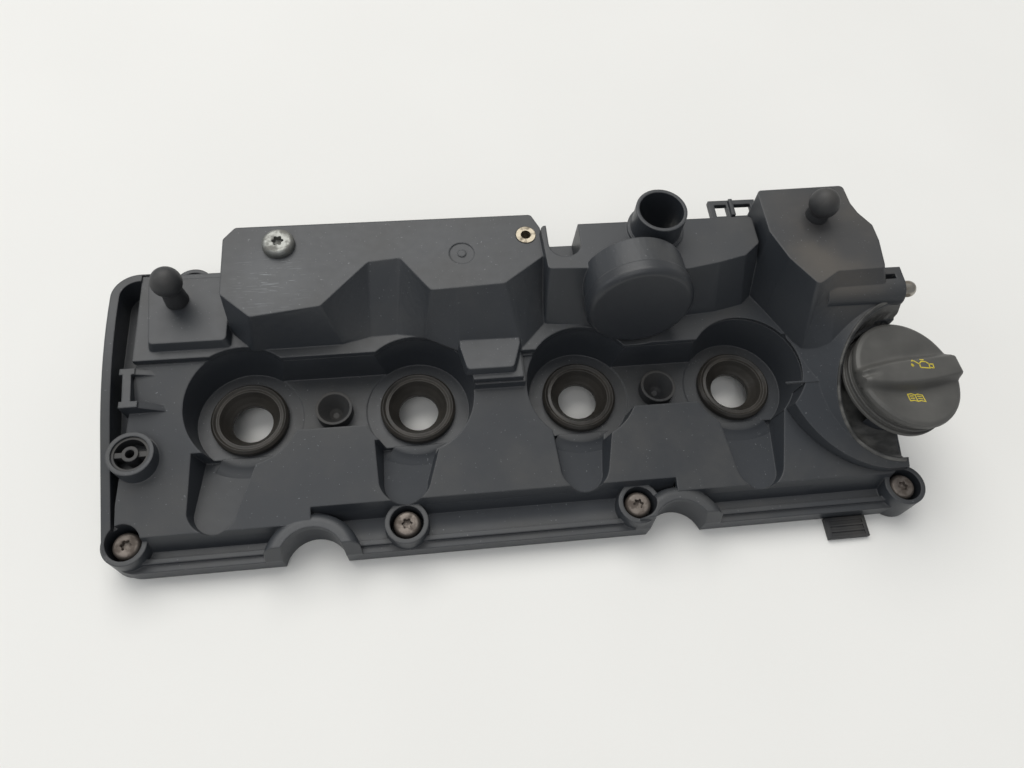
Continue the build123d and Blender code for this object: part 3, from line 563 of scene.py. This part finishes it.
bowl_colour = bowl_skin.blend(bowl_rub, (0.040, 0.040, 0.038, 1), (0.155, 0.152, 0.142, 1))
# painted highlight along the lip and edges of the bowl
bowl_colour = bowl_skin.blend(bowl_edge_highlight * 0.8, bowl_colour, (0.16, 0.16, 0.155, 1))
bowl_bump = bowl_skin.bump(bowl_streaks * 0.6 + bowl_grain * 0.4, 0.2, 0.0003, bowl_normal)
bowl_skin.done(Base_Color=bowl_colour, Roughness=0.42 + bowl_clouds * 0.12, Normal=bowl_bump)
slab("drip_bowl_lining", rows, lambda p: p[2] - bowl_wall, bowl_skin.material)

# ---------------------------------------------------------------- captive cover bolts
# Pan-headed bolts with a six-lobed recess, dulled zinc with patchy stains, captive in their sleeves.
# The head is turned, the recess punched with a flat floor, and the thread is rolled on the shank.
bolt_head_radius = 0.0069
bolt_head_height = 0.0048
bolt_flange = 0.0019
bolt_flat = 0.72            # flat of the crown, as a share of the head
bolt_shank = 0.00262
bolt_recess = 0.0027
bolt_recess_depth = 0.0024
tip_share = 0.55            # tip of the shank, as a share of its radius
tip_run = 0.0006
crown_rings = 6
lobe_depth = 0.14
lobe_count = 6
recess_lip = 0.0002
recess_dish = 0.0003
head_sides = 72
head_sharp = radians(38)


def grid_mesh(name, rings, material):
    """Closed surface through rings of equal count, filled at both ends."""
    mesh = bpy.data.meshes.new(name)
    count = len(rings[0])
    points = [tuple(p) for ring in rings for p in ring]
    faces = []
    for i in range(len(rings) - 1):
        for j in range(count):
            k = (j + 1) % count
            faces.append((i * count + j, (i + 1) * count + j, (i + 1) * count + k, i * count + k))
    faces.append(tuple(range(count)))
    last = (len(rings) - 1) * count
    faces.append(tuple(reversed(range(last, last + count))))
    mesh.from_pydata(points, [], faces)
    work = bmesh.new()
    work.from_mesh(mesh)
    bmesh.ops.recalc_face_normals(work, faces=work.faces)
    work.to_mesh(mesh)
    work.free()
    mesh.materials.append(material)
    for face in mesh.polygons:
        face.use_smooth = True
    mesh.set_sharp_from_angle(angle=head_sharp)
    return placed(name, mesh)


def star(x, y, z, radius, lobe=lobe_depth):
    """Level ring with six lobes: the outline of the driver's recess."""
    ring = []
    for i in range(head_sides):
        turn = 2 * pi * i / head_sides
        reach = radius * (1 - lobe + lobe * cos(lobe_count * turn))
        ring.append((x + reach * cos(turn), y + reach * sin(turn), z))
    return ring


def circle(x, y, z, radius):
    """Level round ring."""
    return star(x, y, z, radius, 0)


def pan_bolt(name, x, y, low, seat, top, head, flange, shank, recess, depth, material):
    """Bolt from its tip at low, head seated at seat, crown at top."""
    rings = [circle(x, y, low, tip_share * shank), circle(x, y, low + tip_run, shank)]
    rings += [circle(x, y, seat, shank), circle(x, y, seat, head), circle(x, y, seat + flange, head)]
    crown = top - seat - flange
    for step in range(crown_rings + 1):
        turn = pi / 2 * step / crown_rings
        radius = head * (1 - (1 - bolt_flat) * (1 - cos(turn)))
        rings.append(circle(x, y, seat + flange + crown * sin(turn), radius))
    rings.append(circle(x, y, top, (head * bolt_flat + recess) / 2))
    rings.append(star(x, y, top, recess * 1.08))
    rings.append(star(x, y, top - recess_lip, recess))
    rings.append(star(x, y, top - depth, recess * 0.94))
    rings.append(circle(x, y, top - depth - recess_dish, recess * 0.4))
    return grid_mesh(name, rings, material)


bolt_steel = metal("dull_bolt_steel", (0.19, 0.165, 0.145, 1), (0.075, 0.058, 0.046, 1), 0.50, 0.7)
thread_pitch = 0.001
thread_height = 0.45        # ridge's radius, as a share of the pitch
thread_steps = 20           # points to each turn
bolt_thread_turns = 9.0
bolt_thread_sink = 0.00006
bolt_thread_start = 0.001


def thread_tree():
    """Rolled thread: a three-sided ridge along a helix, at the foot of a shank."""
    tree = bpy.data.node_groups.new("rolled_thread", "GeometryNodeTree")
    face = tree.interface
    face.new_socket(name="Geometry", in_out="OUTPUT", socket_type="NodeSocketGeometry")
    inputs = {"Turns": "Float", "Radius": "Float", "Pitch": "Float", "Place": "Vector", "Metal": "Material"}
    for label, kind in inputs.items():
        face.new_socket(name=label, in_out="INPUT", socket_type="NodeSocket" + kind)
    made = tree.nodes.new
    given = made("NodeGroupInput")
    height = made("ShaderNodeMath")
    height.operation = "MULTIPLY"
    ridge_size = made("ShaderNodeMath")
    ridge_size.operation = "MULTIPLY"
    ridge_size.inputs[1].default_value = thread_height
    helix = made("GeometryNodeCurveSpiral")
    helix.inputs["Resolution"].default_value = thread_steps
    ridge = made("GeometryNodeCurvePrimitiveCircle")
    ridge.inputs["Resolution"].default_value = 3
    swept = made("GeometryNodeCurveToMesh")
    swept.inputs["Fill Caps"].default_value = True
    moved = made("GeometryNodeTransform")
    real = made("GeometryNodeRealizeInstances")
    coat = made("GeometryNodeSetMaterial")
    result = made("NodeGroupOutput")
    for source, output, target, entry in (
        (given, "Turns", height, 0), (given, "Pitch", height, 1), (given, "Pitch", ridge_size, 0),
        (given, "Turns", helix, "Rotations"), (given, "Radius", helix, "Start Radius"),
        (given, "Radius", helix, "End Radius"), (height, 0, helix, "Height"),
        (ridge_size, 0, ridge, "Radius"),
        (helix, "Curve", swept, "Curve"), (ridge, "Curve", swept, "Profile Curve"),
        (swept, "Mesh", moved, "Geometry"), (given, "Place", moved, "Translation"),
        (moved, "Geometry", real, "Geometry"), (real, "Geometry", coat, "Geometry"),
        (given, "Metal", coat, "Material"), (coat, "Geometry", result, "Geometry"),
    ):
        tree.links.new(source.outputs[output], target.inputs[entry])
    return tree


def grown(name, tree, **values):
    """Runs a geometry tree with named inputs and keeps the result as a plain mesh."""
    seed = placed(name + "_seed", bpy.data.meshes.new(name + "_seed"))
    step = seed.modifiers.new("tree", "NODES")
    step.node_group = tree
    for socket in tree.interface.items_tree:
        if socket.in_out == "INPUT" and socket.name in values:
            step[socket.identifier] = values[socket.name]
    shown = seed.evaluated_get(bpy.context.evaluated_depsgraph_get())
    mesh = bpy.data.meshes.new_from_object(shown)
    mesh.name = name
    bpy.data.objects.remove(seed)
    return placed(name, mesh)


def middle_of(node):
    """x and y of a solid's middle, and the low and high corner of its box."""
    low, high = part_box(node)
    return (low.x + high.x) / 2, (low.y + high.y) / 2, low, high


thread = thread_tree()
for number in range(1, 9):
    node = f"cover_bolt_{number}"
    x, y, low, high = middle_of(node)
    bolt = pan_bolt(
        f"captive_bolt_{number}", x, y, low.z, high.z - bolt_head_height, high.z, bolt_head_radius,
        bolt_flange, bolt_shank, bolt_recess, bolt_recess_depth, bolt_steel)
    turns = grown(
        f"bolt_thread_{number}", thread, Turns=bolt_thread_turns, Radius=bolt_shank - bolt_thread_sink,
        Pitch=thread_pitch, Place=(x, y, low.z + bolt_thread_start), Metal=bolt_steel)
    for piece in (bolt, turns):
        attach(piece, f"bolt_{number}")
    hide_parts(node)

# ---------------------------------------------------------------- separator screw
# Broad zinc screw through the belt end of the separator, bright because it is newer than the bolts.
screw_steel = metal("bright_screw_steel", (0.27, 0.275, 0.26, 1), (0.15, 0.145, 0.13, 1), 0.46)
screw_head_height = 0.0042
screw_flange = 0.0011
screw_shank = 0.0024
screw_recess = 0.0029
screw_recess_depth = 0.0026
x, y, low, high = middle_of("separator_screw")
screw = pan_bolt(
    "separator_pan_screw", x, y, low.z, high.z - screw_head_height, high.z, high.x - x,
    screw_flange, screw_shank, screw_recess, screw_recess_depth, screw_steel)
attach(screw, "cover")
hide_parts("separator_screw")

# ---------------------------------------------------------------- thread of the brass insert
# An M6 thread cut in the insert that takes the engine cover's screw.
insert_thread_turns = 8.5
insert_thread_radius = 0.0028
insert_thread_depth = 0.0095
x, y, low, high = middle_of("threaded_insert")
insert_turns = grown(
    "insert_thread_turns", thread, Turns=insert_thread_turns, Radius=insert_thread_radius,
    Pitch=thread_pitch, Place=(x, y, high.z - insert_thread_depth), Metal=insert_brass)
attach(insert_turns, "cover")

# ---------------------------------------------------------------- oil filler cap
# One moulding of black polyamide: a waisted grip across the crown, a stepped skirt, and a hollow plug below.
# The grip swells out of scooped sides and ends in a notch at the rim.
cap_along = Vector((cos(cap_tilt), 0, -sin(cap_tilt)))
cap_across = Vector((0, 1, 0))
cap_rim = 0.0296
grip_turn = radians(6.5)
grip_upper = 0.0060         # half widths of the grip
grip_lower = 0.0072
grip_rise = 0.0042
scoop_depth = 0.0018
dent_depth = 0.0016
dent_half = 0.0022
edge_fall = 0.0011
horn = 0.0006
cap_sides = 240
crown_steps = 47            # rings of the crown, the first close to the middle
crown_first = 0.02
disc_edge = 0.0030          # thickness of the disc under the crown


def cap_place(u, v, w):
    """Point of the cap: u along the tilt, v across, w up the neck's axis."""
    return cap_centre + cap_along * u + cap_across * v + cap_up * w


def grip_side(a, b):
    """Distance outside the grip's edge: widest in the middle, narrow where it ends at the left."""
    reach = min(1.0, abs(a) / cap_rim)
    left = max(0.0, min(1.0, -a / cap_rim))
    if b > 0:
        return b - grip_upper + 0.0028 * left ** 2
    return -b - grip_lower + 0.0022 * reach ** 2 + 0.0018 * left ** 2


def crown(u, v):
    """Height of the cap's upper face: flat disc, raised grip, scooped sides."""
    a = u * cos(grip_turn) + v * sin(grip_turn)
    b = -u * sin(grip_turn) + v * cos(grip_turn)
    reach = min(1.0, abs(a) / cap_rim)
    side = grip_side(a, b)
    fall = 0.0022 + 0.0016 * (1 - reach) if b < 0 else 0.0030 + 0.0022 * (1 - reach)
    grip = grip_rise * (1 - smooth(-0.4 * fall, fall, side))
    scoop = scoop_depth * (1 - reach ** 2) * smooth(-0.001, 0.003, side) * (1 - smooth(0.003, 0.013, side))
    dent = 0.0
    if a < 0:
        dent = dent_depth * smooth(0.62, 0.98, reach) * smooth(dent_half, 0.0004, abs(b - 0.0006))
    edge = (u * u + v * v) ** 0.5 / cap_rim
    return grip - scoop - dent - edge_fall * smooth(0.94, 1.0, edge)


def rim(angle, radius):
    """Skirt radius, with the grip's two horns standing out of it at one end and a plain lug at the other."""
    a = radius * cos(angle - grip_turn)
    b = radius * sin(angle - grip_turn)
    shape = smooth(0.0012, -0.0002, grip_side(a, b))
    if a < 0:
        return radius + 0.0006 * shape
    return radius + shape * (0.0001 + horn * min(1.0, abs(b) / grip_upper) ** 2)


angles = [2 * pi * i / cap_sides for i in range(cap_sides)]
rings = []
for i in range(crown_steps):
    share = crown_first + (1 - crown_first) * (i / (crown_steps - 1))
    swell = 1 if share > 0.93 else share ** 8
    ring = []
    for angle in angles:
        radius = share * (cap_rim + (rim(angle, cap_rim) - cap_rim) * swell)
        u, v = radius * cos(angle), radius * sin(angle)
        ring.append(cap_place(u, v, crown(u, v)))
    rings.append(ring)
edge_height = [crown(cap_rim * cos(a), cap_rim * sin(a)) for a in angles]
lugs = [smooth(0.0015, 0.0040, h) for h in edge_height]
for drop, grow in ((0.0009, 0.0004), (0.0022, 0.0006), (0.0030, 0.0003)):
    ring = []
    for angle, height in zip(angles, edge_height):
        reach = rim(angle, cap_rim + grow)
        level = min(height, height * (1 - drop / disc_edge)) - drop
        ring.append(cap_place(reach * cos(angle), reach * sin(angle), level))
    rings.append(ring)
for drop, radius in ((0.0031, 0.0279), (0.0048, 0.0276)):
    ring = []
    for angle, lug in zip(angles, lugs):
        reach = radius + (rim(angle, cap_rim + 0.0006) - radius) * lug
        ring.append(cap_place(reach * cos(angle), reach * sin(angle), -drop))
    rings.append(ring)
skirt = (
    (27.6, -5.3), (27.6, -8.2), (28.9, -8.6), (29.1, -9.0), (28.9, -9.4), (27.8, -9.8), (27.8, -11.6),
    (28.1, -12.0), (29.5, -12.0), (29.8, -12.3), (29.8, -13.7), (29.5, -14.0), (22.4, -14.0), (22.2, -14.3),
    (22.2, -18.1), (21.8, -18.5), (20.2, -18.5), (19.9, -18.1), (19.9, -12.4), (19.5, -12.0), (16.6, -12.0),
    (16.2, -12.4), (16.2, -21.6), (15.8, -22.0), (13.9, -22.0), (13.5, -21.6), (13.5, -10.0), (1.0, -10.0),
)
for radius, height in skirt:
    radius, height = radius * millimetre, height * millimetre
    rings.append([cap_place(radius * cos(a), radius * sin(a), height) for a in angles])

cap_skin = Finish("filler_cap_plastic")
cap_normal, cap_edge_highlight = rounded(cap_skin, 0.0006)
cap_clouds = cap_skin.noise(45, 5)
cap_fine = cap_skin.noise(1400, 3)
cap_dust = facing_up(cap_skin).between(0.2, 0.95) * cap_clouds.between(0.25, 0.8)
cap_colour = cap_skin.blend(cap_dust * 0.6, (0.062, 0.061, 0.057, 1), (0.125, 0.122, 0.112, 1))
# painted highlight along the cap's edges
cap_colour = cap_skin.blend(cap_edge_highlight * 0.3, cap_colour, (0.20, 0.195, 0.18, 1))
cap_bump = cap_skin.bump(cap_fine, 0.25, 0.00015, cap_normal)
cap_skin.done(Base_Color=cap_colour, Roughness=0.46 + cap_clouds * 0.12, Normal=cap_bump)
filler_cap = grid_mesh("filler_cap_moulding", rings, cap_skin.material)
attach(filler_cap, "filler_cap")
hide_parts("oil_cap")

# ---------------------------------------------------------------- pictograms on the cap
# An oil can with its drip and an open handbook, pad-printed in yellow on the crown.
# Each line is a flat ribbon of paint that follows the crown's shape.
paint_lift = 0.00008
line_width = 0.00062
line_overlap = 0.3          # how far a stroke runs past its ends, in line widths
line_step = 0.0008
mark_turn = radians(-4)
oil_can_place = (0.0062, 0.0023)
handbook_place = (-0.0006, -0.0138)
oil_can = (
    ((-2.6, -1.6), (3.0, -1.6), (3.0, 0.9), (1.4, 2.0), (-1.2, 2.0), (-2.6, 0.7), (-2.6, -1.6)),
    ((-2.6, 0.2), (-6.2, 2.4)), ((-6.2, 2.4), (-6.9, 1.7)),
    ((3.0, 0.8), (5.4, 0.9), (5.4, -1.3), (3.0, -1.2)), ((-0.6, 2.0), (-0.6, 3.1)), ((-1.5, 3.1), (0.5, 3.1)),
    ((-7.3, 0.2), (-7.6, -0.8), (-7.0, -1.4), (-6.5, -0.8), (-7.3, 0.2)),
)
handbook = (
    ((0.0, -2.3), (-1.9, -1.7), (-4.3, -2.2), (-4.3, 1.9), (-1.9, 2.4), (0.0, 1.8), (1.9, 2.4), (4.3, 1.9),
     (4.3, -2.2), (1.9, -1.7), (0.0, -2.3)), ((0.0, 1.8), (0.0, -2.3)),
    ((-3.3, 0.9), (-1.2, 1.1)), ((-3.3, -0.5), (-1.2, -0.3)),
    ((3.3, 0.9), (1.2, 1.1)), ((3.3, -0.5), (1.2, -0.3)),
)


def painted(name, strokes, centre, material):
    """Ribbons along the strokes, laid on the crown and closed underneath."""
    mesh = bmesh.new()
    for stroke in strokes:
        for (x0, y0), (x1, y1) in zip(stroke, stroke[1:]):
            angle = atan2(y1 - y0, x1 - x0)
            length = ((x1 - x0) ** 2 + (y1 - y0) ** 2) ** 0.5 * millimetre
            steps = max(1, round(length / line_step))
            columns = []
            for i in range(steps + 1):
                along = -line_overlap * line_width + (length + 2 * line_overlap * line_width) * i / steps
                column = []
                for side in (-0.5, 0.5):
                    x = x0 * millimetre + along * cos(angle) - side * line_width * sin(angle)
                    y = y0 * millimetre + along * sin(angle) + side * line_width * cos(angle)
                    u = centre[0] + x * cos(mark_turn) - y * sin(mark_turn)
                    v = centre[1] + x * sin(mark_turn) + y * cos(mark_turn)
                    for lift in (-paint_lift, paint_lift):
                        column.append(mesh.verts.new(cap_place(u, v, crown(u, v) + lift)))
                columns.append(column)
            for a, b in zip(columns, columns[1:]):
                mesh.faces.new((a[1], b[1], b[3], a[3]))
                mesh.faces.new((a[0], a[2], b[2], b[0]))
                mesh.faces.new((a[0], b[0], b[1], a[1]))
                mesh.faces.new((a[2], a[3], b[3], b[2]))
            for end in (columns[0], columns[-1]):
                mesh.faces.new((end[0], end[1], end[3], end[2]))
    bmesh.ops.recalc_face_normals(mesh, faces=mesh.faces)
    data = bpy.data.meshes.new(name)
    mesh.to_mesh(data)
    mesh.free()
    data.materials.append(material)
    piece = placed(name, data)
    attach(piece, "filler_cap")


paint = Finish("yellow_pad_print")
paint_wear = paint.noise(1500, 3).between(0.35, 0.7)
paint_colour = paint.blend(paint_wear, (0.62, 0.50, 0.045, 1), (0.48, 0.39, 0.06, 1))
paint.done(Base_Color=paint_colour, Roughness=0.5 + paint_wear * 0.15)
painted("oil_can_pictogram", oil_can, oil_can_place, paint.material)
painted("handbook_pictogram", handbook, handbook_place, paint.material)
